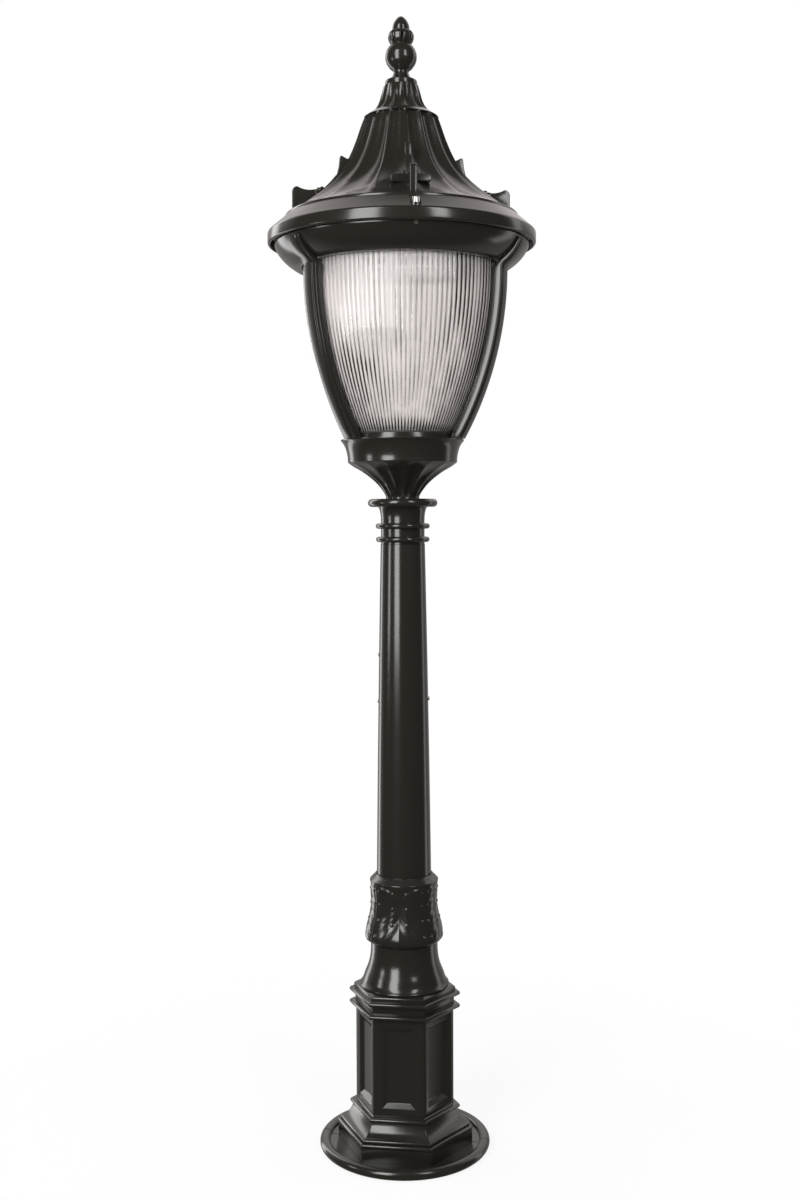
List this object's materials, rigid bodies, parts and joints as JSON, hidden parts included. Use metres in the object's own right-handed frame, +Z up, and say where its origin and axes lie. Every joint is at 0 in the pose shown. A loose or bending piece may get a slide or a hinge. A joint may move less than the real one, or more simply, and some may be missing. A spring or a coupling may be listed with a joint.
{
  "type": "outdoor lamp post",
  "caption": "Low garden lamp post: hexagonal pedestal, leaf collar and tapered column under a caged, ribbed clear globe with a fluted two-tier roof that hinges open.",
  "frame": {"origin": "centre of the base plate's underside, on the ground, on the post's axis", "axes": "+Z up along the post; -Y out of the pedestal's front face; X through the seams of the base ring"},
  "size_m": [0.327, 0.344, 1.4],
  "materials": {
    "black_moulding": "gloss",
    "clear_globe": "clear, with fine upright prisms",
    "galvanised": "galvanised, dull",
    "bright_steel": "bright plated",
    "grey_plastic": "matte",
    "seal": "matte",
    "white_holder": "satin",
    "lamp_glass": "frosted",
    "lamp_cap": "rolled thread",
    "brass": "plain",
    "white_sheet": "white, satin"
  },
  "bodies": {
    "post": {"base_plate": "galvanised", "inner_tube": "galvanised", "pedestal": "black_moulding", "bell": "black_moulding", "leaf_collar": "black_moulding", "shaft": "black_moulding", "shaft_screws": "bright_steel", "lower_sleeve": "grey_plastic", "upper_sleeve": "grey_plastic", "capital": "black_moulding", "grub_screws": "bright_steel"},
    "base_front": {"base_ring_front": "black_moulding"},
    "base_rear": {"base_ring_rear": "black_moulding"},
    "lantern": {"stem": "black_moulding", "cup": "black_moulding", "globe_seat": "black_moulding", "lower_seal": "seal", "globe": "clear_globe", "arm_left": "black_moulding", "arm_right": "black_moulding", "arm_rear": "black_moulding", "arm_pins": "bright_steel", "crown_ring": "black_moulding", "upper_seal": "seal", "roof_seal": "seal", "hinge_pin": "bright_steel", "closing_insert": "brass", "nipple": "brass", "nipple_nuts": "brass", "lamp_holder": "white_holder", "bulb_cap": "lamp_cap", "bulb_glass": "lamp_glass", "terminal_block": "white_holder"},
    "roof": {"roof_shell": "black_moulding", "finial": "black_moulding", "finial_stud": "bright_steel", "finial_nut": "bright_steel", "reflector": "white_sheet", "reflector_screws": "bright_steel", "crest_front": "black_moulding", "crest_right": "black_moulding", "crest_rear": "black_moulding", "crest_left": "black_moulding"},
    "screw_carrier": {"screw_washer": "bright_steel"},
    "screw": {"closing_screw": "bright_steel"}
  },
  "joints": [
    {"name": "base_front_pull", "type": "slide", "parent": "post", "child": "base_front", "axis": [0, -1, 0], "range_m": [0, 0.12]},
    {"name": "base_rear_pull", "type": "slide", "parent": "post", "child": "base_rear", "axis": [0, 1, 0], "range_m": [0, 0.12]},
    {"name": "lantern_turn", "type": "hinge", "parent": "post", "child": "lantern", "pos_m": [0, 0, 0.817], "axis": [0, 0, 1], "range_deg": [-180, 180]},
    {"name": "roof_hinge", "type": "hinge", "parent": "lantern", "child": "roof", "pos_m": [-0.04209, 0.16883, 1.118], "axis": [-0.9703, -0.2419, 0], "range_deg": [0, 100]},
    {"name": "closing_screw_lift", "type": "slide", "parent": "roof", "child": "screw_carrier", "axis": [0, 0, 1], "range_m": [0, 0.012]},
    {"name": "closing_screw_turn", "type": "hinge", "parent": "screw_carrier", "child": "screw", "pos_m": [0.03714, -0.14894, 1.1419], "axis": [0, 0, 1], "range_deg": [0, 4321]}
  ],
  "couplings": [
    {"joint": "closing_screw_turn", "follows": "closing_screw_lift", "rad_per_m": 6283.2}
  ]
}
